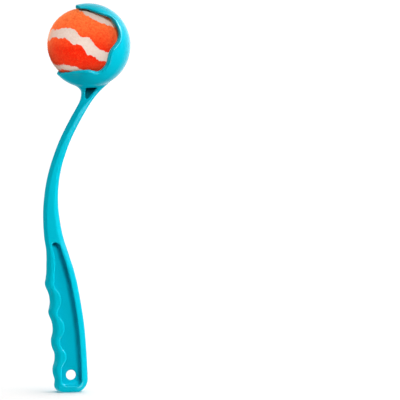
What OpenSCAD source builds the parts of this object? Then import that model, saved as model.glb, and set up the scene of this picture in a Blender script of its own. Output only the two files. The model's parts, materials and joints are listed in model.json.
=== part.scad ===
// Dog ball launcher stick with its ball.
// The origin is the centre of the hang hole, +Z runs up the stick towards the cup,
// the stick bends in the XZ plane and the cup opens towards -X.

/* [Ball] */
// Diameter of the ball over its felt
ball_d = 65; // [60:0.5:68]
// Thickness of the felt
felt_t = 3.2; // [2:0.1:4]
// Wall of the rubber core
core_wall = 3.6; // [2.5:0.1:5]
// Width of the cement line between the felt panels
seam_w = 2; // [1.2:0.1:3]
// How far the cement lies below the felt
seam_drop = 0.8; // [0.3:0.1:1.5]

/* [Cup] */
// Wall of the cup and its lips
cup_wall = 3; // [2:0.1:4]
// Radius of the cup's inside beyond the ball's
cup_room = 2.5; // [2.2:0.1:3.5]
// How far the ball sits forward of the cup's centre, against the lips
seat_offset = 4.7; // [4:0.1:5.2]
// Upward tilt of the cup's opening
opening_tilt = 15; // [5:1:25]
// Clearance between the lips and the ball
lip_gap = 0.3; // [0.2:0.05:0.6]

/* [Neck] */
// Height of the neck's foot above the hang hole
neck_z = 240; // [220:1:260]
// Distance from the neck's foot up to the cup's underside
neck_l = 16.6; // [14:0.1:20]
// How far the cup's centre stands behind the neck's foot
cup_set = 5.9; // [4:0.1:8]
// Width of the neck where it meets the cup
neck_w = 24.5; // [20:0.5:27]
// Thickness of the neck
neck_t = 13; // [11:0.5:15]
// Depth of the three-cornered pocket in each side of the neck
neck_pocket_d = 4.2; // [2:0.1:5]
// Width of the three-cornered pocket along the cup
neck_pocket_w = 9.6; // [7:0.1:11]
// Length of the three-cornered pocket down the neck
neck_pocket_l = 9.2; // [7:0.1:11]

/* [Shaft] */
// How far the shaft bows forward of the hang hole
bow_d = 18; // [14:0.5:22]
// Width of the shaft at its slimmest
shaft_w = 9.6; // [8:0.1:12]
// Thickness of the shaft
shaft_t = 12; // [10:0.5:14]
// Radius of the long edges
edge_r = 3.6; // [2.5:0.1:4.5]
// Height of the middle of the stretch that bends
flex_z = 188; // [175:1:195]
// Length of the stretch that bends
flex_l = 40; // [30:1:50]

/* [Handle] */
// Width of the handle
handle_w = 30; // [27:0.5:34]
// Thickness of the handle
handle_t = 18; // [16:0.5:22]
// Distance from the hang hole to the butt end
butt_z = 15.8; // [14:0.1:20]
// Radius of the butt's corner on the finger side
butt_front_r = 8; // [6:0.5:10]
// Radius of the butt's corner on the back
butt_back_r = 12; // [8:0.5:14]
// Radius of the butt's edges across the thickness
butt_edge = 3.4; // [2:0.1:5]
// Spacing of the finger scallops
finger_pitch = 25; // [22:0.5:28]
// Height of the finger bumps over their mean line
finger_h = 1.6; // [0.8:0.1:2.2]
// Number of finger bumps
finger_n = 4; // [3:1:4]
// Height of the lowest finger bump above the hang hole
finger_z = 6; // [4:0.5:8]
// Thickness of the web that closes the handle's window
web_t = 3; // [2:0.1:4]
// Land between the window and the back of the handle
back_land = 6.1; // [5:0.1:7]
// Land between the window and the finger side, along the scallops
finger_land = 7.6; // [6.5:0.1:8.5]
// Land between the window and the front edge, above the scallops
front_land = 5; // [4:0.1:6]
// Top of the window above the hang hole
window_top = 119.5; // [105:0.5:122]
// Land between the window's top and the handle's upper end
head_land = 10; // [6:0.5:15]
// Bottom of the window below the hang hole
window_drop = 9.4; // [8:0.1:11]
// Radius of the window's lower corners
window_r = 3.4; // [2:0.1:4]
// Diameter of the hang hole
hang_hole_d = 9; // [6:0.5:11]

/* [Hidden] */
$fn = 96;

// Ball and cup
ball_r = ball_d / 2;
core_r = ball_r - felt_t;
cup_in_r = ball_r + cup_room;
cup_r = cup_in_r + cup_wall;
seam_deg = asin(seam_w / 2 / ball_r);
far = 4 * cup_r;

// Rim of the opening in ball radii from the ball's centre: [towards the opening, across it],
// from the upper lip's tip over the side scallop to the lower lip's tip
rim_points = [[0.9, 1], [0.51, 0.97], [0.19, 0.96], [-0.1, 0.94], [-0.41, 0.9], [-0.6, 0.75],
    [-0.7, 0.54], [-0.69, 0.33], [-0.58, 0.08], [-0.53, -0.12], [-0.56, -0.25], [-0.54, -0.41],
    [-0.41, -0.57], [-0.23, -0.61], [0.07, -0.68], [0.34, -0.79], [0.47, -0.9], [0.66, -1.12]];
rim_steps = 4;
rim_out = 3;

// Bow of the stick: [share of the neck's height, share of the bow]
bow_points = [[-0.02, -0.01], [0.07, -0.05], [0.175, -0.15], [0.26, -0.29], [0.34, -0.43],
    [0.4, -0.54], [0.46, -0.7], [0.52, -0.88], [0.6, -1], [0.665, -0.995], [0.725, -0.89],
    [0.785, -0.71], [0.845, -0.465], [0.89, -0.22], [0.95, 0.19], [1, 0.57]];
// Share of the way from the shaft's width to the handle's
width_points = [[-0.07, 1], [0.07, 1], [0.175, 0.99], [0.26, 0.95], [0.34, 0.86], [0.4, 0.69],
    [0.46, 0.47], [0.52, 0.34], [0.6, 0.23], [0.665, 0.14], [0.725, 0.08], [0.785, 0.035],
    [0.89, 0], [1, 0]];
// Share of the way from the shaft's thickness to the handle's
thick_points = [[-0.07, 1], [0.36, 1], [0.55, 0.45], [0.75, 0.05], [0.9, 0], [1, 0]];

ring_step = 2.6;
corner_steps = 4;
handle_top = window_top + head_land;

// Value at z of the smooth curve through [z, value] points
function slope(p, i) =
    let (a = p[max(0, i - 1)], b = p[min(len(p) - 1, i + 1)]) (b[1] - a[1]) / (b[0] - a[0]);
function span(p, z, i = 0) = i >= len(p) - 2 || z < p[i + 1][0] ? i : span(p, z, i + 1);
function curve(p, z) =
    let (i = span(p, z),
        h = p[i + 1][0] - p[i][0],
        t = min(1, max(0, (z - p[i][0]) / h)),
        a = p[i][1],
        b = p[i + 1][1],
        m = slope(p, i) * h,
        n = slope(p, i + 1) * h)
    a + m * t + (3 * (b - a) - 2 * m - n) * t * t + (2 * (a - b) + m + n) * t * t * t;

// Points of a smooth line through p, leaving out its two end points
function smooth_line(p, steps) = [for (i = [1:len(p) - 3], k = [0:steps - 1])
    let (t = k / steps, a = p[i - 1], b = p[i], c = p[i + 1], d = p[i + 2])
    (2 * b + (c - a) * t + (2 * a - 5 * b + 4 * c - d) * t * t + (3 * b - a - 3 * c + d) * t * t * t) / 2];

// Fades from 1 to 0 as z goes from z0 to z1
function fade(z, z0, z1) = let (t = min(1, max(0, (z - z0) / (z1 - z0)))) 1 - t * t * (3 - 2 * t);

// Finger scallops: pointed bumps with round valleys, which die out above the top bump
finger_top = finger_z + (finger_n - 1) * finger_pitch;
bump_point = 0.15;
bump_sink = 0.2;
bump_fade = 0.7;
function scallop(z) =
    let (a = 360 * (z - finger_z) / finger_pitch) cos(a) + bump_point * cos(2 * a) - bump_sink;
function finger(z) =
    finger_h * scallop(z) * fade(z, finger_top, finger_top + bump_fade * finger_pitch);

// Outline of the stick at height z
function mid_x(z) = bow_d * curve(bow_points, z / neck_z);
function half_w(z) = (shaft_w + (handle_w - shaft_w) * curve(width_points, z / neck_z)) / 2;
function half_t(z) = (shaft_t + (handle_t - shaft_t) * curve(thick_points, z / neck_z)) / 2;
function front_x(z) = mid_x(z) - half_w(z) - finger(z);
function back_x(z) = mid_x(z) + half_w(z);
// How far a rounded end of radius r draws in at distance d from its tip
function end_inset(d, r) = d >= r ? 0 : r - sqrt(r * r - (r - d) * (r - d));

// Cross-section of the stick as [x, y] points, from x0 to x1 with half thickness h
function section(x0, x1, h) =
    let (r = min(edge_r, 0.48 * (x1 - x0), 0.9 * h), m = (x0 + x1) / 2, w = (x1 - x0) / 2 - r)
    [for (q = [0:3], k = [0:corner_steps]) let (a = 90 * (q + k / corner_steps))
        [m + (q == 0 || q == 3 ? w : -w) + r * cos(a), (q < 2 ? h - r : r - h) + r * sin(a)]];

function stick_ring(z) =
    let (d = z + butt_z,
        x0 = front_x(z) + end_inset(d, butt_front_r),
        x1 = back_x(z) - end_inset(d, butt_back_r))
    [for (p = section(x0, x1, half_t(z) - end_inset(d, butt_edge))) [p[0], p[1], z]];

// Solid through rings that all have the same number of points
module loft(rings) {
    n = len(rings[0]);
    top = (len(rings) - 1) * n;
    polyhedron([for (r = rings, p = r) p], concat(
        [[for (k = [0:n - 1]) k]],
        [[for (k = [n - 1:-1:0]) top + k]],
        [for (i = [0:len(rings) - 2], k = [0:n - 1]) let (a = i * n + k, b = i * n + (k + 1) % n)
            each [[a, a + n, b], [b, a + n, b + n]]]));
}

// Stretch of the stick from z0 to z1
module stick(z0, z1) {
    steps = ceil((z1 - z0) / ring_step);
    loft([for (i = [0:steps]) stick_ring(z0 + (z1 - z0) * i / steps)]);
}

// Window of the handle: its front edge waves with the fingers, and more deeply
window_wave = 1.5;
function land(z) =
    front_land + (finger_land - front_land) * fade(z, finger_top - finger_pitch, finger_top + finger_pitch);
function window_front(z) =
    let (v = max(z, finger_z)) mid_x(v) - half_w(v) + land(v) - window_wave * finger(v);
function window_back(z) = back_x(z) - back_land;
window_low = -window_drop;
arch_h = 3.8;
arch_z = window_top - arch_h;
arch_steps = 8;
window_steps = 46;

module window() {
    rise = (arch_z - window_low - window_r) / window_steps;
    zs = [for (i = [0:window_steps]) window_low + window_r + i * rise];
    arch_x = (window_front(arch_z) + window_back(arch_z)) / 2;
    arch_w = (window_back(arch_z) - window_front(arch_z)) / 2;
    low_front = window_front(window_low + window_r);
    low_back = window_back(window_low + window_r);
    polygon(concat(
        [for (z = zs) [window_back(z), z]],
        [for (k = [1:arch_steps - 1]) let (a = 180 * k / arch_steps)
            [arch_x + arch_w * cos(a), arch_z + arch_h * sin(a)]],
        [for (i = [window_steps:-1:0]) [window_front(zs[i]), zs[i]]],
        [for (k = [1:corner_steps]) let (a = 180 + 90 * k / corner_steps)
            [low_front + window_r * (1 + cos(a)), window_low + window_r * (1 + sin(a))]],
        [for (k = [0:corner_steps - 1]) let (a = 270 + 90 * k / corner_steps)
            [low_back - window_r * (1 - cos(a)), window_low + window_r * (1 + sin(a))]]));
}

// Stands an XZ outline up and gives it a thickness across Y
module across(t) {
    rotate([90, 0, 0]) linear_extrude(t, center = true) children();
}

module handle_frame() {
    color("turquoise") difference() {
        stick(-butt_z, handle_top);
        across(2 * handle_t) window();
    }
}

module handle_web() {
    color("turquoise") difference() {
        across(web_t) window();
        rotate([90, 0, 0]) cylinder(d = hang_hole_d, h = 2 * web_t, center = true);
    }
}

module lower_shaft() {
    color("turquoise") stick(handle_top, flex_z - flex_l / 2);
}

module flex_shaft() {
    color("turquoise") stick(flex_z - flex_l / 2, flex_z + flex_l / 2);
}

module upper_shaft() {
    color("turquoise") stick(flex_z + flex_l / 2, neck_z);
}

// Neck: leans back and widens to the cup
cup_x = mid_x(neck_z) + cup_set;
cup_z = neck_z + neck_l + cup_r;
under_z = cup_z - cup_r;
neck_steps = 9;
neck_lean = 1.75;
neck_turn = 0.33;
neck_flare = 2.6;
neck_rise = 2;
function neck_mid(t) = mid_x(neck_z) + cup_set * (neck_lean * t - neck_turn * t * t);
function neck_half(t) = (shaft_w + (neck_w - shaft_w) * pow(t, neck_flare)) / 2;
function neck_ring(t, z) =
    let (h = (shaft_t + (neck_t - shaft_t) * t) / 2)
    [for (p = section(neck_mid(t) - neck_half(t), neck_mid(t) + neck_half(t), h)) [p[0], p[1], z]];

// Pocket outline: its front edge, and the span of its narrow foot, in pocket widths
pocket_front = 0.56;
pocket_foot = [0.14, 0.34];
pocket_rise = 1.2;

module neck_pocket() {
    top = under_z + pocket_rise;
    left = neck_mid(1) - pocket_front * neck_pocket_w;
    polygon([[left, top], [left + neck_pocket_w, top],
        [left + pocket_foot[1] * neck_pocket_w, top - neck_pocket_l],
        [left + pocket_foot[0] * neck_pocket_w, top - neck_pocket_l]]);
}

module neck() {
    color("turquoise") difference() {
        loft(concat([for (i = [0:neck_steps]) let (t = i / neck_steps)
                neck_ring(t, neck_z + t * (neck_l + neck_rise))],
            [neck_ring(1, cup_z)]));
        translate([cup_x, 0, cup_z]) sphere(cup_r);
        for (s = [-1, 1]) translate([0, s * neck_t / 2, 0]) across(2 * neck_pocket_d) neck_pocket();
    }
}

// Cup and lips, in a frame at the ball's centre with +X towards the opening
module at_ball() {
    translate([cup_x, 0, cup_z]) rotate([0, 180 + opening_tilt, 0]) translate([seat_offset, 0, 0])
        children();
}

module opening() {
    rim = smooth_line(concat([rim_points[0] * 2 - rim_points[1]], rim_points,
        [rim_points[len(rim_points) - 1] * 2 - rim_points[len(rim_points) - 2]]), rim_steps);
    last = rim_points[len(rim_points) - 1];
    polygon(ball_r * concat([[rim_out, -rim_out], [rim_out, rim_out]], rim, [last]));
}

module cup_and_lips() {
    difference() {
        translate([-seat_offset, 0, 0]) sphere(cup_r);
        translate([-seat_offset, 0, 0]) sphere(cup_in_r);
        sphere(ball_r + lip_gap);
        mirror([0, 0, 1]) across(far) opening();
    }
}

// The same frame set level, as the ball lies in the cup
module in_ball() {
    at_ball() rotate([0, -opening_tilt, 0]) children();
}

// Half of space beyond a plane across X, limited to reach past the cup
module half(side) {
    translate([side * far / 2, 0, 0]) cube(far, center = true);
}

module cup_shell() {
    color("turquoise") at_ball() difference() {
        cup_and_lips();
        half(1);
    }
}

module upper_lip() {
    color("turquoise") at_ball() intersection() {
        cup_and_lips();
        translate([far / 2, 0, -far / 2]) cube(far, center = true);
    }
}

module lower_lip() {
    color("turquoise") at_ball() intersection() {
        cup_and_lips();
        translate([far / 2, 0, far / 2]) cube(far, center = true);
    }
}

// Ball: two rubber half-shells under two felt panels with a cement line between
module core_half(side) {
    color("dimgray") in_ball() intersection() {
        difference() {
            sphere(core_r);
            sphere(core_r - core_wall);
        }
        half(side);
    }
}

module core_front() core_half(1);

module core_back() core_half(-1);

// Two cones with their tips at the ball's centre, along +Z and -Z
module cones(deg) {
    for (m = [0, 1]) mirror([0, 0, m]) cylinder(h = ball_d, r1 = 0, r2 = ball_d * tan(deg));
}

module panel_sector() {
    difference() {
        half(1);
        cones(45 + seam_deg);
    }
    intersection() {
        half(-1);
        rotate([90, 0, 0]) cones(45 - seam_deg);
    }
}

module felt_shell(outer) {
    difference() {
        sphere(outer);
        sphere(core_r);
    }
}

module felt_panel() {
    intersection() {
        felt_shell(ball_r);
        panel_sector();
    }
}

module felt_panel_a() {
    color("orangered") in_ball() felt_panel();
}

module felt_panel_b() {
    color("orangered") in_ball() rotate(180, [0, 1, 1]) felt_panel();
}

module seam_cement() {
    color("linen") in_ball() difference() {
        felt_shell(ball_r - seam_drop);
        panel_sector();
        rotate(180, [0, 1, 1]) panel_sector();
    }
}

handle_frame();
handle_web();
lower_shaft();
flex_shaft();
upper_shaft();
neck();
cup_shell();
upper_lip();
lower_lip();
core_front();
core_back();
felt_panel_a();
felt_panel_b();
seam_cement();
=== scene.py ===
import json
import math
import bpy
import numpy as np
from mathutils import Matrix, Vector, noise


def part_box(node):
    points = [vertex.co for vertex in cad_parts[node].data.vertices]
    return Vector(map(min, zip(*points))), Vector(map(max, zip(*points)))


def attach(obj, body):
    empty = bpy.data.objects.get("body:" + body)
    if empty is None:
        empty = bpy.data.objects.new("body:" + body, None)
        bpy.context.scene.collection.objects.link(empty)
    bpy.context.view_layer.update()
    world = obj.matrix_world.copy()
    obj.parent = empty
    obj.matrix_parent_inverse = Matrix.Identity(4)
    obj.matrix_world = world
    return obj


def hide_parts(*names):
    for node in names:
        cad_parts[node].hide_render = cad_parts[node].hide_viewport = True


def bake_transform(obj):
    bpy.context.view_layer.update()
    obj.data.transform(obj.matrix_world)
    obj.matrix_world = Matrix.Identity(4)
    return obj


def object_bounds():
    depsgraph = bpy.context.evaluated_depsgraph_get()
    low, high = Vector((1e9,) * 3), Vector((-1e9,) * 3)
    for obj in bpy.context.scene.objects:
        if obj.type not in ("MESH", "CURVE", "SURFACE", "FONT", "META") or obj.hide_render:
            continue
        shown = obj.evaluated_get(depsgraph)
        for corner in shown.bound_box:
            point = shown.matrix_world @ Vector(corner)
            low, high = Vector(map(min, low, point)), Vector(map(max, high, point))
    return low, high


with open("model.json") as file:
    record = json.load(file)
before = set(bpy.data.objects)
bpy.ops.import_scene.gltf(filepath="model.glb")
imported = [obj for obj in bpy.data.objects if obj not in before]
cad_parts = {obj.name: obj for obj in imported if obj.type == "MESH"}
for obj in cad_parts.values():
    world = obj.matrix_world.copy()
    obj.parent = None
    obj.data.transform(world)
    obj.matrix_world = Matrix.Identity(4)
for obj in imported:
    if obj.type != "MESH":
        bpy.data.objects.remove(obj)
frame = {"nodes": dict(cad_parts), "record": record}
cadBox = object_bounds()
scene = bpy.context.scene
mm = 0.001
seats = {mount["name"]: mount for mount in frame["record"]["mounts"]}
ballCentre = np.array(seats["ball_seat"]["pos_m"]) / mm  # millimetres, as are the shapes below
openingAxis = np.array(seats["ball_seat"]["axis"])


# Camera: a long lens that sees the stick from the photograph's side and stands it at the left
view = {
    "side": 400,  # pixels
    "pixel": 0.8934 * mm,  # size of a pixel at the stick
    "hole": (70.85, 374.7),  # pixel of the hang hole's centre
    "azimuth": -10,  # degrees
    "elevation": 5,
    "distance": 12.0,  # metres
    "sensor": 36.0,  # millimetres
}

azimuth, elevation = math.radians(view["azimuth"]), math.radians(view["elevation"])
toCamera = Vector((math.sin(azimuth) * math.cos(elevation), -math.cos(azimuth) * math.cos(elevation),
                   math.sin(elevation)))
viewRight = Vector((math.cos(azimuth), math.sin(azimuth), 0))
viewUp = toCamera.cross(viewRight)


def placeCamera():
    offRight, offUp = [view["pixel"] * offset for offset in
                       (view["side"] / 2 - view["hole"][0], view["hole"][1] - view["side"] / 2)]
    eye = viewUp * offUp + toCamera * view["distance"]
    ahead = (viewRight * offRight - toCamera * view["distance"]).normalized()
    across = ahead.cross(viewUp).normalized()
    lens = bpy.data.cameras.new("lens")
    lens.sensor_width = view["sensor"]
    lens.lens = view["sensor"] * view["distance"] / (view["pixel"] * view["side"])
    camera = bpy.data.objects.new("camera", lens)
    camera.matrix_world = Matrix.Translation(eye) @ Matrix(
        (across, across.cross(ahead), -ahead)).transposed().to_4x4()
    scene.collection.objects.link(camera)
    scene.camera = camera
    print("camera: lens", round(lens.lens), "mm")


placeCamera()


# Shader maths: a wire is a socket that takes Python's operators
class Wire:
    def __init__(self, wiring, socket):
        self.wiring = wiring
        self.socket = socket

    def maths(self, operation, *values, held=False):
        settings = {"operation": operation, "use_clamp": held}
        return self.wiring.node("ShaderNodeMath", settings, dict(enumerate(values)))

    def __add__(self, other):
        return self.maths("ADD", self, other)

    def __radd__(self, other):
        return self.maths("ADD", other, self)

    def __sub__(self, other):
        return self.maths("SUBTRACT", self, other)

    def __rsub__(self, other):
        return self.maths("SUBTRACT", other, self)

    def __mul__(self, other):
        return self.maths("MULTIPLY", self, other)

    def __rmul__(self, other):
        return self.maths("MULTIPLY", other, self)

    def sine(self):
        return self.maths("SINE", self)

    def size(self):
        return self.maths("ABSOLUTE", self)

    def held(self):  # kept between 0 and 1
        return self.maths("MULTIPLY", self, 1, held=True)

    def above(self, level, gain):  # 0 up to the level, then rising to 1
        return ((self - level) * gain).held()


class Wiring:
    def __init__(self, owner):  # a material or a world
        owner.use_nodes = True
        self.tree = owner.node_tree
        self.tree.nodes.clear()

    def node(self, kind, settings, values, output=0):
        made = self.tree.nodes.new(kind)
        for name, value in settings.items():
            setattr(made, name, value)
        for name, value in values.items():
            if isinstance(value, Wire):
                self.tree.links.new(value.socket, made.inputs[name])
            else:
                made.inputs[name].default_value = value
        return Wire(self, made.outputs[output]) if made.outputs else None

    def along(self, place, axis):
        values = {0: place, 1: axis}
        return self.node("ShaderNodeVectorMath", {"operation": "DOT_PRODUCT"}, values, "Value")


class Finish(Wiring):
    def __init__(self, name):
        self.material = bpy.data.materials.new(name)
        super().__init__(self.material)
        self.place = self.node("ShaderNodeTexCoord", {}, {}, "Object")

    def noise(self, place, grain, detail=2, rough=0.5):  # grain is the size of a speck in metres
        values = {"Vector": place, "Scale": 1 / grain, "Detail": detail, "Roughness": rough}
        return self.node("ShaderNodeTexNoise", {}, values)

    def stretched(self, turn, scale):
        values = {"Vector": self.place, "Rotation": turn, "Scale": scale}
        return self.node("ShaderNodeMapping", {}, values)

    def mixed(self, share, first, second):
        values = {0: share, 6: first, 7: second}
        return self.node("ShaderNodeMix", {"data_type": "RGBA"}, values, 2)

    def bump(self, height, strength, depth):
        values = {"Height": height, "Strength": strength, "Distance": depth}
        return self.node("ShaderNodeBump", {}, values, "Normal")

    def surface(self, **values):
        shader = self.node("ShaderNodeBsdfPrincipled", {}, {
            name.replace("_", " "): value for name, value in values.items()})
        self.node("ShaderNodeOutputMaterial", {}, {"Surface": shader})
        return self.material


def colour(red, green, blue):  # a screen colour, 0 to 255, as the shader's linear one
    shares = [value / 255 for value in (red, green, blue)]
    return [s / 12.92 if s <= 0.04045 else ((s + 0.055) / 1.055) ** 2.4 for s in shares] + [1]


plastic = {
    "tone": colour(0, 186, 208),
    "paleTone": colour(0, 191, 214),
    "cloud": 0.03,  # metres
    "smear": 0.006,
    "smearDetail": 3,
    "grain": 0.0006,
    "grainBump": (0.05, 0.00002),  # strength, and depth in metres
    "rough": (0.18, 0.1),  # least roughness, and how much the smears add
    "specular": 0.12,
    # Painted shade in the neck's pockets: its tone, its share, its reach and its fading edge
    "paintedShadeTone": colour(0, 64, 70),
    "paintedShadeShare": 0.7,
    "paintedShadeDepth": (2.6, 0.4),  # how far from the middle it reaches, and how much further towards the back
    "paintedShadeEdge": (0.6, 2),  # its strength at the pocket's walls, and how it fades beyond them
}


def pocketPaintedShade(finish):  # painted shade: the plastic's colour darkened in the neck's pockets
    x, y, z = [finish.along(finish.place, axis) * (1 / mm) for axis in np.eye(3).tolist()]
    left = pocketCorners()[0][0]
    shallow, slope = plastic["paintedShadeDepth"]
    level, gain = plastic["paintedShadeEdge"]
    pocketShade = ((x - left) * slope + shallow - y.size()).held()
    for ax, az, outX, outZ in pocketSides():
        outside = (x - ax) * outX + (z - az) * outZ
        pocketShade = pocketShade * (level - outside * gain).held()
    return pocketShade


def plasticFinish():
    finish = Finish("turquoise_plastic")
    cloud = finish.noise(finish.place, plastic["cloud"])
    smear = finish.noise(finish.place, plastic["smear"], plastic["smearDetail"])
    grain = finish.noise(finish.place, plastic["grain"])
    clean = finish.mixed(cloud, plastic["tone"], plastic["paleTone"])
    # painted shade darkens the plastic's colour inside the pockets
    pocketShade = pocketPaintedShade(finish) * plastic["paintedShadeShare"]
    rough, smeared = plastic["rough"]
    return finish.surface(
        Base_Color=finish.mixed(pocketShade, clean, plastic["paintedShadeTone"]),
        Roughness=rough + smeared * smear,
        Normal=finish.bump(grain, *plastic["grainBump"]),
        Specular_IOR_Level=plastic["specular"],
    )


felt = {
    "orange": colour(255, 124, 60),
    # the orange with painted shade, low on the ball
    "shadedOrange": colour(210, 22, 0),
    "deepOrange": colour(196, 22, 0),
    "paleOrange": colour(255, 116, 60),
    "white": colour(200, 184, 174),
    "greyWhite": colour(194, 174, 162),
    # Edges of each stripe, lower and upper: height across the stripes and waves round the ball,
    # each wave with its depth in millimetres, its count and its turn in degrees
    "stripes": [
        ((-5.6, [(1.4, 2, 78), (2.6, 3, -178), (0.5, 8, 103), (0.9, 13, 123)]),
         (2.6, [(4.3, 2, 98), (2.4, 3, -150), (1.3, 9, 19), (0.6, 14, 40)])),
        ((24.8, [(1.2, 2, -132), (0.4, 3, -58)]), (29.1, [(0.3, 3, 20)])),
        ((-27.8, [(2.2, 2, 48)]), (-24.2, [(2.0, 2, 48), (1.0, 3, 73)])),
    ],
    "lean": 24,  # turn of the stripes in the camera's view, degrees
    "soft": 0.25,  # half width of a stripe's soft edge
    "ragged": [(3.4, 0.0028), (1.3, 0.0008)],  # depth and size of the edge's rags, coarse and fine
    "shadeGrade": (-5.0, 26.0),  # heights between which the orange turns from painted shade at the bottom to painted light at the top
    "tuft": (0.0018, 4, 0.65),  # size in metres, detail and roughness of the noise
    "patch": (0.005, 3),
    "strands": [((0.4, 0.2, 0.7), (900, 260, 700)), ((1.1, 0.9, -0.5), (260, 900, 700))],  # turn and fineness
    # Where the noise starts to show and how fast it rises, and the share of the colour that it mixes in
    "tuftEdge": (0.37, 4),
    "tuftShare": 0.55,
    "patchEdge": (0.48, 5),
    "patchShare": 0.5,
    "strandEdge": (0.5, 4),
    "strandShare": 0.25,
    "rough": (0.9, 0.1),  # least roughness, and how much the tufts add
    "bump": (0.5, 0.0004),  # strength, and depth in metres
    "specular": 0.1,
    "sheen": 0.8,
    "sheenRough": 0.5,
    "sheenTint": colour(255, 150, 95),
}


def stripeMask(finish, centred):
    lean = math.radians(felt["lean"])
    across = viewRight * math.sin(lean) + viewUp * math.cos(lean)
    sideways = viewRight * math.cos(lean) - viewUp * math.sin(lean)
    angle = finish.node("ShaderNodeMath", {"operation": "ARCTAN2"},
                        {0: finish.along(centred, sideways), 1: finish.along(centred, toCamera)})
    height = finish.along(centred, across) * (1 / mm)
    for depth, size in felt["ragged"]:
        height = height + (finish.noise(centred, size) - 0.5) * depth

    def edge(level, waves):
        line = level
        for depth, count, turn in waves:
            line = (angle * count + math.radians(turn)).sine() * depth + line
        return line

    mask = 0
    gain = 0.5 / felt["soft"]
    for lower, upper in felt["stripes"]:
        over = (height - edge(*lower)).above(-felt["soft"], gain)
        under = (edge(*upper) - height).above(-felt["soft"], gain)
        mask = over * under + mask
    return mask


def feltFinish():
    finish = Finish("woolly_felt")
    centred = finish.node("ShaderNodeVectorMath", {"operation": "SUBTRACT"},
                          {0: finish.place, 1: list(ballCentre * mm)})
    mask = stripeMask(finish, centred)
    tuft = finish.noise(centred, *felt["tuft"])
    first, second = [finish.noise(finish.stretched(*strand), 1) for strand in felt["strands"]]
    strands = (first + second) * 0.5
    full = tuft.above(*felt["tuftEdge"])
    light = strands.above(*felt["strandEdge"])
    # painted light and shade: the orange is paler towards the top and deeper red towards the bottom, and the
    # dark patches keep to the bottom
    low, high = felt["shadeGrade"]
    shadeGrade = (finish.along(centred, viewUp) * (1 / mm)).above(low, 1 / (high - low))
    patch = finish.noise(centred, *felt["patch"]).above(*felt["patchEdge"]) * (1 - shadeGrade)
    orange = finish.mixed(shadeGrade, felt["shadedOrange"], felt["orange"])
    orange = finish.mixed(patch * felt["patchShare"], orange, felt["deepOrange"])
    orange = finish.mixed(full, finish.mixed(felt["tuftShare"], orange, felt["deepOrange"]), orange)
    orange = finish.mixed(light * felt["strandShare"], orange, felt["paleOrange"])
    white = finish.mixed(full, felt["greyWhite"], felt["white"])
    rough, tufted = felt["rough"]
    return finish.surface(
        Base_Color=finish.mixed(mask, orange, white),
        Roughness=rough + tufted * tuft,
        Normal=finish.bump(strands + tuft, *felt["bump"]),
        Specular_IOR_Level=felt["specular"],
        Sheen_Weight=felt["sheen"],
        Sheen_Roughness=felt["sheenRough"],
        Sheen_Tint=felt["sheenTint"],
    )


plain = {
    "detail": 3,
    "speckled": 0.1,  # how much the specks roughen
    "bump": (0.3, 0.0002),  # strength, and depth in metres
}


def plainFinish(name, tone, darkTone, grain, rough):
    finish = Finish(name)
    specks = finish.noise(finish.place, grain, plain["detail"])
    return finish.surface(
        Base_Color=finish.mixed(specks, darkTone, tone),
        Roughness=rough + plain["speckled"] * specks,
        Normal=finish.bump(specks, *plain["bump"]),
    )


# Fields: a shape is a function of x, y and z in millimetres that is below zero inside it
def roundMax(a, b, radius):  # what two shapes share, with a round edge
    corner = np.hypot(np.maximum(radius + a, 0), np.maximum(radius + b, 0))
    return np.minimum(-radius, np.maximum(a, b)) + corner


def roundMin(a, b, radius):  # two shapes joined by a fillet
    return -roundMax(-a, -b, radius)


def between(first, second, share):  # first where the share is 0, second where it is 1
    return first + (second - first) * share


def fade(at, start, end):  # from 1 at start to 0 at end
    t = np.clip((at - start) / (end - start), 0, 1)
    return 1 - t * t * (3 - 2 * t)


def smoothLine(points, at):  # height of the smooth line through points
    x, value = np.array(points, float).T
    slope = np.gradient(value, x)
    slope[1:-1] = (value[2:] - value[:-2]) / (x[2:] - x[:-2])
    i = np.clip(np.searchsorted(x, at, side="right") - 1, 0, len(x) - 2)
    width = x[i + 1] - x[i]
    t = np.clip((at - x[i]) / width, 0, 1)
    a, b, m, n = value[i], value[i + 1], slope[i] * width, slope[i + 1] * width
    return a + m * t + (3 * (b - a) - 2 * m - n) * t ** 2 + (2 * (a - b) + m + n) * t ** 3


def steepness(line, z, step=0.5):  # how much longer the line is than its height at z
    return np.hypot(1, (line(z + step) - line(z - step)) / (2 * step))


def distance(centre, x, y, z):
    return np.sqrt(sum((at - middle) ** 2 for at, middle in zip((x, y, z), centre)))


grid = {
    "step": 0.8,  # size of a cell
    "margin": 2.4,  # room round the moulding, and round the ball
    "ballMargin": 2.0,
    "probe": 0.1,  # how far off the slope of a field is measured
    "leastSlope": 0.5,  # a flatter field is taken to be this steep
    "pulls": 2,  # how often the points are drawn onto the surface
}


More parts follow.
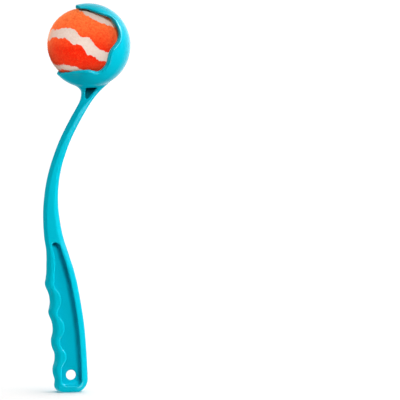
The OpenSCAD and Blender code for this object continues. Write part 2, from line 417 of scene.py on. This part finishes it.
def skinField(field, low, high):  # quads over the field's zero surface
    step = grid["step"]
    spans = [np.arange(a, b + step, step) for a, b in zip(low, high)]
    value = field(spans[0][:, None, None], spans[1][None, :, None], spans[2][None, None, :])
    inside = value < 0
    corners = [(i, j, k) for i in (0, 1) for j in (0, 1) for k in (0, 1)]
    count = sum(inside[i:i + len(spans[0]) - 1, j:j + len(spans[1]) - 1, k:k + len(spans[2]) - 1]
                .astype(np.int8) for i, j, k in corners)
    cells = np.argwhere((count > 0) & (count < len(corners)))
    number = np.full(count.shape, -1)
    number[tuple(cells.T)] = np.arange(len(cells))

    total, hits = np.zeros((len(cells), 3)), np.zeros((len(cells), 1))
    for corner in corners:
        for axis in range(3):
            if corner[axis] == 0:
                along = np.eye(3, dtype=int)[axis]
                a, b = value[tuple((cells + corner).T)], value[tuple((cells + corner + along).T)]
                crossed = (a < 0) != (b < 0)
                share = np.where(crossed, a / np.where(crossed, a - b, 1), 0)
                total += crossed[:, None] * (corner + share[:, None] * along)
                hits += crossed[:, None]
    points = (cells + total / hits) * step + low

    quads = []
    for axis in range(3):
        u, v = (axis + 1) % 3, (axis + 2) % 3
        start = np.take(inside, range(inside.shape[axis] - 1), axis)
        edges = np.argwhere(start != np.take(inside, range(1, inside.shape[axis]), axis))
        ring = []
        for du, dv in ((0, 0), (1, 0), (1, 1), (0, 1)):
            cell = edges.copy()
            cell[:, u] -= du
            cell[:, v] -= dv
            ring.append(number[tuple(cell.T)])
        ring = np.stack(ring, 1)
        flipped = ~start[tuple(edges.T)]
        ring[flipped] = ring[flipped][:, ::-1]
        quads.append(ring)

    probe = grid["probe"]
    for _ in range(grid["pulls"]):
        depth = field(*points.T)
        slope = np.stack([field(*(points + probe * axis).T) - depth for axis in np.eye(3)], 1) / probe
        pull = (depth / np.maximum((slope ** 2).sum(1), grid["leastSlope"] ** 2))[:, None] * slope
        points -= np.clip(pull, -step, step)
    return points, np.concatenate(quads).tolist()


def makePiece(name, points, faces, material, body):
    mesh = bpy.data.meshes.new(name)
    mesh.from_pydata((points * mm).tolist(), [], faces)
    mesh.shade_smooth()
    mesh.materials.append(material)
    piece = bpy.data.objects.new(name, mesh)
    scene.collection.objects.link(piece)
    if body:
        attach(piece, body)
    print(name, len(points), "points", len(faces), "faces")
    return piece


# Moulding: handle, shaft, neck and cup are one piece of plastic
stick = {
    "neckFoot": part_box("neck")[0].z / mm,
    "butt": cadBox[0].z / mm,
    "bow": 18.0,  # how far the shaft bows forward
    "shaftWidth": 9.6,
    "handleWidth": 30.2,
    "shaftThick": 12.0,
    "handleThick": 18.0,
    # Lines up the stick: heights are shares of the height of the neck's foot
    "bowLine": [(-0.02, -0.03), (0.07, -0.085), (0.175, -0.19), (0.26, -0.33), (0.34, -0.495), (0.37, -0.56),
                (0.4, -0.588), (0.46, -0.71), (0.52, -0.89), (0.6, -1.01), (0.665, -1.007), (0.725, -0.918),
                (0.785, -0.738), (0.845, -0.47), (0.89, -0.22), (0.95, 0.19), (1, 0.57)],
    "widthLine": [(-0.07, 1), (0.07, 1), (0.175, 0.99), (0.26, 0.95), (0.34, 0.895), (0.37, 0.845),
                  (0.4, 0.705), (0.46, 0.47), (0.52, 0.355), (0.6, 0.23), (0.665, 0.14), (0.725, 0.08),
                  (0.785, 0.035), (0.89, 0), (1, 0)],
    "thickLine": [(-0.07, 1), (0.36, 1), (0.55, 0.45), (0.75, 0.05), (0.9, 0), (1, 0)],
    # Widths of the bevels at the front and the back edge, and the slope of the faces towards the back
    "frontBevel": [(-0.07, 1), (-0.03, 2.2), (0.35, 2.6), (0.44, 2), (0.58, 2.2), (0.8, 2.4), (0.95, 2.9),
                   (1.01, 3.6), (1.045, 9), (1.08, 13)],
    "backBevel": [(-0.07, 2.6), (-0.03, 3.2), (0.38, 3.5), (0.46, 3.9), (0.53, 4.6), (0.69, 3.7), (0.8, 2.9),
                  (0.95, 1.7), (1.01, 1.3), (1.08, 1.3)],
    "slopeLine": [(-0.07, 0), (0.65, 0), (0.8, 0.1), (0.95, 0.22), (1.08, 0.22)],
    # Depth of the front bevel, in thicknesses
    "frontDepth": [(-0.07, 0.48), (0.95, 0.48), (1.01, 0.48), (1.045, 0.34), (1.08, 0.3)],
    "crease": 0.5,  # radius of the bevels' edges, and on the grip at the fingers and at the back
    "fingerCrease": 1.8,
    "landCrease": 3.0,
    "creaseEnd": (80.0, 110.0),  # heights between which the grip's creases sharpen
    "buttFront": 7.0,  # radii of the butt's corners
    "buttBack": 12.8,
    "fingerPitch": 25.5,
    "fingerHeight": 1.25,
    "fingerPoint": 0.15,  # how pointed the bumps are
    "fingerSink": 0.2,  # how much of the wave's height lies behind the edge
    "fingerSag": 0.6,  # how much fuller the lower bumps are on their lower sides
    "sagEnd": (20.0, 50.0),
    "fingerFoot": 4.9,  # height of the lowest bump
    "fingerTop": (81.4, 99.25),  # heights between which the bumps end, upwards and downwards
    "fingerLow": (1.9, -10.4),
}

neck = {
    "height": 18.6,
    "thick": 13.0,
    "fillet": (5.0, 6.0),  # where the neck meets the cup, at its front and its back
    "filletTurn": (16.0, 26.0),  # from where to where along x the one turns into the other
    # How far the edges move back above the neck's foot, in shares of its height
    "frontLine": [(0, 0), (0.25, 2.5), (0.5, 3.95), (0.75, 4.15), (1, 2.9), (1.2, 1)],
    "backLine": [(0, 0), (0.25, 3), (0.5, 6.6), (0.75, 10.6), (1, 14.2), (1.2, 16.8)],
    "pocketFloor": 0.5,  # half the web between the two pockets
    "pocketSet": 2.1,  # how far the pocket lies behind the shaft's middle
    "pocketRise": 0.6,  # how far it reaches into the cup
    "pocketWidth": 10.5,
    "pocketLength": 10.3,
    "pocketFoot": (0.02, 0.2),  # where the blunt foot starts and ends, in widths
    "pocketRound": 1.0,
    "pocketLip": 0.6,
}


def bowAt(z):
    return stick["bow"] * smoothLine(stick["bowLine"], z / stick["neckFoot"])


def halfWidthAt(z):
    share = smoothLine(stick["widthLine"], z / stick["neckFoot"])
    return between(stick["shaftWidth"], stick["handleWidth"], share) / 2


def upNeck(z):
    return np.maximum(z - stick["neckFoot"], 0) / neck["height"]


def halfThickAt(z):
    share = smoothLine(stick["thickLine"], z / stick["neckFoot"])
    thick = between(stick["shaftThick"], stick["handleThick"], share)
    return (thick + (neck["thick"] - stick["shaftThick"]) * np.minimum(upNeck(z), 1)) / 2


def fingerAt(z):  # pointed bumps with round valleys
    turn = 2 * np.pi * (z - stick["fingerFoot"]) / stick["fingerPitch"]
    turn = turn - stick["fingerSag"] * fade(z, *stick["sagEnd"]) * np.minimum(np.sin(turn), 0)
    wave = np.cos(turn) + stick["fingerPoint"] * np.cos(2 * turn) - stick["fingerSink"]
    return stick["fingerHeight"] * wave * fade(z, *stick["fingerTop"]) * fade(z, *stick["fingerLow"])


def frontAt(z):
    return bowAt(z) - halfWidthAt(z) - fingerAt(z) + smoothLine(neck["frontLine"], upNeck(z))


def backAt(z):
    return bowAt(z) + halfWidthAt(z) + smoothLine(neck["backLine"], upNeck(z))


def bevelled(edge, face, across, deep, outer, inner):  # an edge with a flat cut across it
    flat = (edge * deep + face * across + across * deep) / np.hypot(across, deep)
    return roundMax(roundMax(edge, flat, outer), face, inner)


def stickField(x, y, z):
    share = z / stick["neckFoot"]
    below = stick["butt"] - z
    front = roundMax(below, (frontAt(z) - x) / steepness(frontAt, z), stick["buttFront"])
    back = roundMax(below, (x - backAt(z)) / steepness(backAt, z), stick["buttBack"])
    thick = halfThickAt(z)
    face = abs(y) - thick + smoothLine(stick["slopeLine"], share) * (x - (frontAt(z) + backAt(z)) / 2)
    frontBevel, frontDepth, backBevel = [
        smoothLine(stick[name], share) for name in ("frontBevel", "frontDepth", "backBevel")]
    crease, landCrease = [between(stick["crease"], stick[name], fade(z, *stick["creaseEnd"]))
                          for name in ("fingerCrease", "landCrease")]
    solid = np.maximum(
        bevelled(front, face, frontBevel, 2 * thick * frontDepth, crease, crease),
        bevelled(back, face, backBevel, backBevel, stick["crease"], landCrease))
    return np.maximum(solid, z - cup["centre"][2])  # ends inside the cup


window = {
    "top": 119.5,
    "low": -9.4,
    "backLand": 6.1,
    # Land beside the window's front edge, at heights up the stick
    "frontLand": [(60, 8.6), (78, 8.6), (82, 8.4), (86, 7.5), (90, 7.1), (95, 7.1), (101.5, 6.9),
                  (107.5, 6.1), (113, 5.2), (120, 4.6)],
    "wave": 1.9,  # the window's front edge waves this much more than the fingers
    "waveEnd": (82.0, 88.0),
    "topCorner": 3.6,
    "lowCorner": 5.4,
    "frontFillet": 1.0,  # where the floor meets the walls
    "backFillet": 4.0,
    "frontLip": 1.0,  # radii of the edges round the window
    "backLip": 0.3,
    "turn": (0.25, 0.75),  # from where to where across the window its front turns into its back
    "webThick": 3.0,
    "hole": seats["hang_hole"]["dims"]["r_mm"],
    "holeLip": 0.4,
}


def windowFront(z):
    v = np.maximum(z, stick["fingerFoot"])
    wave = window["wave"] * fade(v, *window["waveEnd"])
    return bowAt(v) - halfWidthAt(v) + smoothLine(window["frontLand"], v) - wave * fingerAt(v)


def towardsBack(x, z):  # 0 at the window's front edge, 1 at its back edge
    front, back = windowFront(z), backAt(z) - window["backLand"]
    return 1 - fade((x - front) / np.maximum(back - front, 1), *window["turn"])


def windowField(x, y, z):  # the recess in both sides of the handle
    front = (windowFront(z) - x) / steepness(windowFront, z)
    back = (x - backAt(z) + window["backLand"]) / steepness(backAt, z)
    ends = [(window["low"] - z, window["lowCorner"]), (z - window["top"], window["topCorner"])]
    outline = np.maximum.reduce(np.broadcast_arrays(*[
        roundMax(end, side, corner) for end, corner in ends for side in (front, back)]))
    fillet = between(window["frontFillet"], window["backFillet"], towardsBack(x, z))
    return roundMax(outline, window["webThick"] / 2 - abs(y), fillet)


cup = {
    "ballRadius": 32.5,
    "rimGap": 2.0,  # between the ball and the rim, and between it and the lips' tips
    "tipGap": 0.3,
    "seatOffset": 4.15,  # the ball sits this far forward of the cup's centre
    "radius": 37.8,
    "wall": 3.0,
    # Rim in ball radii from the ball's centre, towards the opening and across it, from the upper lip's
    # tip over the side scallop to the lower lip's
    "rim": [(0.57, 1.35), (0.486, 1.12), (0.45, 1.02), (0.435, 0.96), (0.425, 0.93), (0.4, 0.933),
            (0.36, 0.945), (0.28, 0.957), (0.19, 0.952), (-0.1, 0.916), (-0.415, 0.89), (-0.595, 0.735),
            (-0.715, 0.545), (-0.722, 0.342), (-0.58, 0.08), (-0.555, -0.125), (-0.57, -0.255),
            (-0.545, -0.415), (-0.425, -0.585), (-0.22, -0.597), (-0.08, -0.618), (0.075, -0.665),
            (0.33, -0.782), (0.405, -0.866), (0.43, -0.895), (0.462, -0.965), (0.46, -1.06), (0.445, -1.2)],
    "rimSteps": 5,
    "rimFar": 3.0,  # the outline of the opening closes this far off, in ball radii
    "rimBevel": (2.2, 3.0),  # width and depth of the bevel round the rim, and of the lips' tips
    "tipBevel": (0.2, 0.2),
    "tipWidth": (9.0, 20.0),  # distances from the middle between which a tip turns into the rim
    "rimCrease": 1.2,
    "tipCrease": 0.3,
    "innerCrease": 0.5,  # share of the crease that is left where the bevel meets the outside
    "tipReach": 1.6,  # how far the middle of a lip's round end stands out, and from how wide
    "tipRound": 11.0,
    "tipStart": (9.0, 13.0),  # how far forward of the ball's centre the round ends start
    "rimInner": 0.4,  # radius of the rim's inner edge
    "beadWidth": 11.0,  # width of the bead by which the wall reaches the ball at the rim
}
cup["centre"] = ballCentre - openingAxis * cup["seatOffset"]


def rimLine():  # the rim as a closed outline in millimetres, with the opening inside it
    knots = np.array(cup["rim"], float)
    knots = np.vstack((2 * knots[0] - knots[1], knots, 2 * knots[-1] - knots[-2]))
    far = cup["rimFar"]
    line = [np.array((far, -far)), np.array((far, far))]
    for a, b, c, d in zip(knots, knots[1:], knots[2:], knots[3:]):
        for t in np.arange(cup["rimSteps"]) / cup["rimSteps"]:
            line.append((2 * b + (c - a) * t + (2 * a - 5 * b + 4 * c - d) * t ** 2
                         + (3 * b - a - 3 * c + d) * t ** 3) / 2)
    return np.array(line + [knots[-2]]) * cup["ballRadius"]


rim = rimLine()


def openingField(x, y, z):
    ox, oz = openingAxis[0], openingAxis[2]
    u = (x - ballCentre[0]) * ox + (z - ballCentre[2]) * oz
    v = (x - ballCentre[0]) * oz - (z - ballCentre[2]) * ox
    nearest, inside = np.full(u.shape, np.inf), np.zeros(u.shape, bool)
    for (ax, ay), (bx, by) in zip(rim, np.roll(rim, -1, 0)):
        dx, dy = bx - ax, by - ay
        t = np.clip(((u - ax) * dx + (v - ay) * dy) / (dx * dx + dy * dy), 0, 1)
        nearest = np.minimum(nearest, (u - ax - t * dx) ** 2 + (v - ay - t * dy) ** 2)
        if dy:
            inside ^= ((ay > v) != (by > v)) & (u < dx * (v - ay) / dy + ax)
    reach = cup["tipReach"] * fade(abs(y), 0, cup["tipRound"])  # rounds the lips' ends
    return np.where(inside, -1, 1) * np.sqrt(nearest) + reach * (1 - fade(u, *cup["tipStart"]))


def pocketCorners():
    width = neck["pocketWidth"]
    top = cup["centre"][2] - cup["radius"] + neck["pocketRise"]
    left = float(bowAt(stick["neckFoot"])) + neck["pocketSet"]
    foot = [(left + share * width, top - neck["pocketLength"]) for share in neck["pocketFoot"]]
    return [(left, top)] + foot + [(left + width, top)]


def pocketSides():  # a corner of each side, and the direction that points out of the pocket there
    corners = pocketCorners()
    for (ax, az), (bx, bz) in zip(corners, corners[1:] + corners[:1]):
        length = math.hypot(bx - ax, bz - az)
        yield ax, az, (bz - az) / length, (ax - bx) / length


def pocketField(x, y, z):  # the three-cornered pocket in both sides of the neck
    outline = neck["pocketFloor"] - abs(y)
    for ax, az, outX, outZ in pocketSides():
        outline = roundMax(outline, (x - ax) * outX + (z - az) * outZ, neck["pocketRound"])
    return outline


def closedField(x, y, z):  # the stick and a cup that is still a full ball
    lip = between(window["frontLip"], window["backLip"], towardsBack(x, z))
    solid = roundMax(stickField(x, y, z), -windowField(x, y, z), lip)
    solid = roundMax(solid, window["hole"] - np.hypot(x, z), window["holeLip"])
    frontFillet, backFillet = neck["fillet"]
    fillet = between(backFillet, frontFillet, fade(x, *neck["filletTurn"]))
    solid = roundMin(solid, distance(cup["centre"], x, y, z) - cup["radius"], fillet)
    return roundMax(solid, -pocketField(x, y, z), neck["pocketLip"])


def mouldingField(x, y, z):
    opening = openingField(x, y, z)
    tip = fade(abs(y), *cup["tipWidth"])
    across, deep = [between(a, b, tip) for a, b in zip(cup["rimBevel"], cup["tipBevel"])]
    crease = between(cup["rimCrease"], cup["tipCrease"], tip)
    solid = bevelled(-opening, closedField(x, y, z), across, deep, crease, crease * cup["innerCrease"])
    fromCup = distance(cup["centre"], x, y, z) - cup["radius"]
    fromBall = distance(ballCentre, x, y, z) - cup["ballRadius"]
    hollow = np.minimum(fromCup + cup["wall"], fromBall - cup["tipGap"])
    atRim = fromBall - between(cup["rimGap"], cup["tipGap"], tip)
    hollow = between(hollow, atRim, fade(opening, 0, cup["beadWidth"]))
    return roundMax(solid, -hollow, cup["rimInner"])


def buildMoulding():
    low, high = [np.array(corner) / mm for corner in cadBox]
    points, faces = skinField(mouldingField, low - grid["margin"], high + grid["margin"])
    piece = makePiece("moulding", points, faces, plasticFinish(), None)
    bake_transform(piece)
    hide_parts("handle_frame", "handle_web", "lower_shaft", "flex_shaft", "upper_shaft", "neck",
                "cup_shell", "upper_lip", "lower_lip")


buildMoulding()


# Ball: two felt panels on a rubber core
cover = {
    "radius": 32.4,
    "thick": 3.2,
    "seamGap": -1.0,  # the panels' edges are felted together
    "seamRound": 0.5,
    "lumps": [(0.16, 6.0), (0.14, 1.7)],  # depth and size
    "lumpDepth": 1.0,  # what lies deeper stays smooth
}


def seamField(x, y, z):  # how far a point lies from the seam, below zero on the first panel
    size = np.maximum(np.sqrt(x * x + y * y + z * z), 1e-6)
    front = abs(np.arcsin(np.clip(z / size, -1, 1))) - math.pi / 4
    back = math.pi / 4 - abs(np.arcsin(np.clip(y / size, -1, 1)))
    return size * np.where(x < 0, front, back)


def panelField(side):
    def field(x, y, z):
        size = np.sqrt(x * x + y * y + z * z)
        shell = np.maximum(size - cover["radius"], cover["radius"] - cover["thick"] - size)
        return roundMax(shell, side * seamField(x, y, z) + cover["seamGap"] / 2, cover["seamRound"])
    return field


def lumpy(points):
    size = np.linalg.norm(points, axis=1, keepdims=True)
    outside = size[:, 0] > cover["radius"] - cover["lumpDepth"]
    swell = np.zeros(len(points))
    for depth, grain in cover["lumps"]:
        swell += [depth * noise.noise(point / grain) for point in map(Vector, points)]
    return points * (1 + (swell * outside)[:, None] / size)


nap = {
    "count": 9000,
    "seed": 11,
    "length": (1.0, 2.6),
    "thick": 0.055,
    "corners": 3,  # of a strand's section
    "lift": (0.05, 0.5),  # how steeply a strand rises, and the share of that which is left to it
    "kept": (0.2, 1),
    "curl": 0.5,
    "sunk": 0.15,  # depth of the root
    "knee": 0.5,  # where a strand bends, in lengths, and its thickness there
    "kneeThick": 0.7,
    "tipLift": 0.8,
}


def buildNap(name, side, material):
    rng = np.random.default_rng(nap["seed"])
    root = rng.normal(size=(nap["count"], 3))
    root /= np.linalg.norm(root, axis=1, keepdims=True)
    lay = np.cross(root, rng.normal(size=root.shape))
    lay /= np.linalg.norm(lay, axis=1, keepdims=True)
    curl = np.cross(root, lay) * rng.uniform(-nap["curl"], nap["curl"], (len(root), 1))
    length = rng.uniform(*nap["length"], (len(root), 1))
    lift = rng.uniform(*nap["lift"], (len(root), 1)) * rng.uniform(*nap["kept"], (len(root), 1))
    mine = side * seamField(*root.T) < 0
    root, lay, curl, length, lift = [part[mine] for part in (root, lay, curl, length, lift)]

    start = root * (cover["radius"] - nap["sunk"])
    knee = start + length * nap["knee"] * (lay + lift * root)
    end = start + length * (lay + curl + nap["tipLift"] * lift * root)
    n = nap["corners"]
    rings = []
    for centre, thick in ((start, nap["thick"]), (knee, nap["kneeThick"] * nap["thick"])):
        for k in range(n):
            turn = 2 * math.pi * k / n
            rings.append(centre + thick * (math.cos(turn) * root + math.sin(turn) * np.cross(root, lay)))
    points = np.stack(rings + [end], 1)

    shapes = [(k, (k + 1) % n, n + (k + 1) % n, n + k) for k in range(n)]  # sides, points and feet
    shapes += [(n + k, n + (k + 1) % n, 2 * n) for k in range(n)]
    shapes.append(tuple(reversed(range(n))))
    first = np.arange(len(root))[:, None] * (2 * n + 1)
    faces = [face for shape in shapes for face in (first + [shape]).reshape(-1, len(shape)).tolist()]
    return makePiece(name, points.reshape(-1, 3) + ballCentre, faces, material, "ball")


core = {  # tone, dark tone, grain in metres and roughness
    "rubber": (colour(70, 70, 72), colour(50, 50, 52), 0.004, 0.6),
    "cement": (colour(225, 214, 204), colour(196, 184, 172), 0.002, 0.8),
}


def buildBall():
    wool = feltFinish()
    reach = cover["radius"] + grid["ballMargin"]
    for name, side in (("felt_panel_a", 1), ("felt_panel_b", -1)):
        points, faces = skinField(panelField(side), (-reach,) * 3, (reach,) * 3)
        piece = makePiece("cover_" + name[-1], lumpy(points) + ballCentre, faces, wool, "ball")
        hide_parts(name)
        buildNap("nap_" + name[-1], side, wool)
    rubber = plainFinish("core_rubber", *core["rubber"])
    cement = plainFinish("seam_cement_line", *core["cement"])
    for name, material in (("core_front", rubber), ("core_back", rubber), ("seam_cement", cement)):
        node = frame["nodes"][name]
        node.data.materials.clear()
        node.data.materials.append(material)
    print("ball done")


buildBall()


# Floor and light: a dim room with a bright backdrop, and lamps that each light some of the pieces
studio = {
    "side": 60.0,  # metres
    "floor": (colour(251, 248, 247), colour(249, 246, 245), 0.2, 0.9),  # tones, grain and roughness
    "shade": (0.14, 0.16),  # light from all round, and how much more of it comes from behind
    "backdrop": (0.45, 0.885, 0),  # where the bright backdrop stands that shows in the gloss
    "edges": (0.66, 0.99),  # how closely to face it to see where it starts and where it is brightest
    "glow": 1.4,
    # Name of each lamp, where it stands, its strength, its spread in degrees, what it lights, and how:
    # as shade, as gloss, or as shade that shines past the other pieces
    "lights": [
        ("key", (0.21, -0.837, 0.505), 0.82, 24, "stick", "shade"),
        ("side", (0.93, -0.21, -0.23), 0.79, 10, "stick", "shade"),
        ("over", (0.05, -0.25, 0.97), 0.2, 30, "stick", "shade"),
        ("fill", (-0.68, 0.12, -0.72), 0.6, 60, "stick", "shade"),
        ("rear", (0.2, 0.9, 0.35), 0.8, 50, "stick", "shade"),
        ("west", (-0.56, 0.82, 0.1), 0.44, 20, "stick", "shade"),
        ("glint", (0.45, -0.55, 0.7), 1.6, 28, "stick", "gloss"),
        ("spark", (0.82, 0.05, 0.56), 3.4, 20, "stick", "gloss"),
        ("strip", (0.54, -0.68, -0.48), 0.45, 22, "stick", "gloss"),
        ("front", (-0.106, -0.758, 0.643), 1.05, 5, "ball", "shade"),
        ("soft", (0, -1, 0.1), 0.06, 150, "ball", "shade"),
        ("right", (0.7, -0.6, -0.35), 0.62, 40, "ball", "past"),
        ("left", (-0.72, -0.5, -0.48), 0.76, 70, "ball", "shade"),
        ("behind", (0.2, 0.9, 0.35), 0.8, 50, "ball", "shade"),
        ("top", (0.3, -0.05, 1), 1.12, 85, "floor", "shade"),
    ],
    "lit": {
        "stick": ["moulding"],
        "ball": ["cover_a", "nap_a", "cover_b", "nap_b", "core_front", "core_back", "seam_cement"],
        "floor": ["floor"],
    },
}


def buildFloor():
    half = studio["side"] / 2
    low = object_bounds()[0].z  # the butt stands on it
    mesh = bpy.data.meshes.new("floor")
    mesh.from_pydata([(-half, -half, low), (half, -half, low), (half, half, low), (-half, half, low)], [],
                     [(0, 1, 2, 3)])
    mesh.materials.append(plainFinish("pale_floor", *studio["floor"]))
    floor = bpy.data.objects.new("floor", mesh)
    floor.visible_diffuse = False  # keeps the floor's bounce off the undersides
    floor.visible_glossy = False
    floor.visible_shadow = False
    scene.collection.objects.link(floor)


def buildWorld():
    scene.world = bpy.data.worlds.new("studio")
    sky = Wiring(scene.world)
    place = sky.node("ShaderNodeTexCoord", {}, {}, "Generated")
    start, full = studio["edges"]
    level, rise = studio["shade"]
    glow = sky.along(place, studio["backdrop"]).above(start, 1 / (full - start)) * studio["glow"]
    shade = sky.along(place, (0, 1, 0)) * rise + level
    glossy = sky.node("ShaderNodeLightPath", {}, {}, "Is Glossy Ray")
    seen = sky.node("ShaderNodeLightPath", {}, {}, "Is Camera Ray")
    strength = sky.node("ShaderNodeMix", {}, {0: glossy, 2: shade, 3: glow})
    strength = sky.node("ShaderNodeMix", {}, {0: seen, 2: strength, 3: 1})
    light = sky.node("ShaderNodeBackground", {}, {"Color": (1, 1, 1, 1), "Strength": strength})
    sky.node("ShaderNodeOutputWorld", {}, {"Surface": light})


def buildLights():
    groups = {}
    for name, pieces in studio["lit"].items():
        groups[name] = bpy.data.collections.new(name + "_lit")
        for piece in pieces:
            groups[name].objects.link(bpy.data.objects[piece])
    for name, source, strength, spread, lit, kind in studio["lights"]:
        lamp = bpy.data.lights.new(name, "SUN")
        lamp.energy = math.pi * strength  # 1 lights a white face fully
        lamp.angle = math.radians(spread)
        light = bpy.data.objects.new(name, lamp)
        light.rotation_mode = "QUATERNION"
        light.rotation_quaternion = Vector(source).to_track_quat("Z", "Y")
        scene.collection.objects.link(light)
        light.visible_diffuse = kind != "gloss"
        light.visible_glossy = kind == "gloss"
        light.light_linking.receiver_collection = groups[lit]
        if kind == "past":
            light.light_linking.blocker_collection = groups[lit]
    scene.view_settings.view_transform = "Standard"
    print("studio done")


buildFloor()
buildWorld()
buildLights()
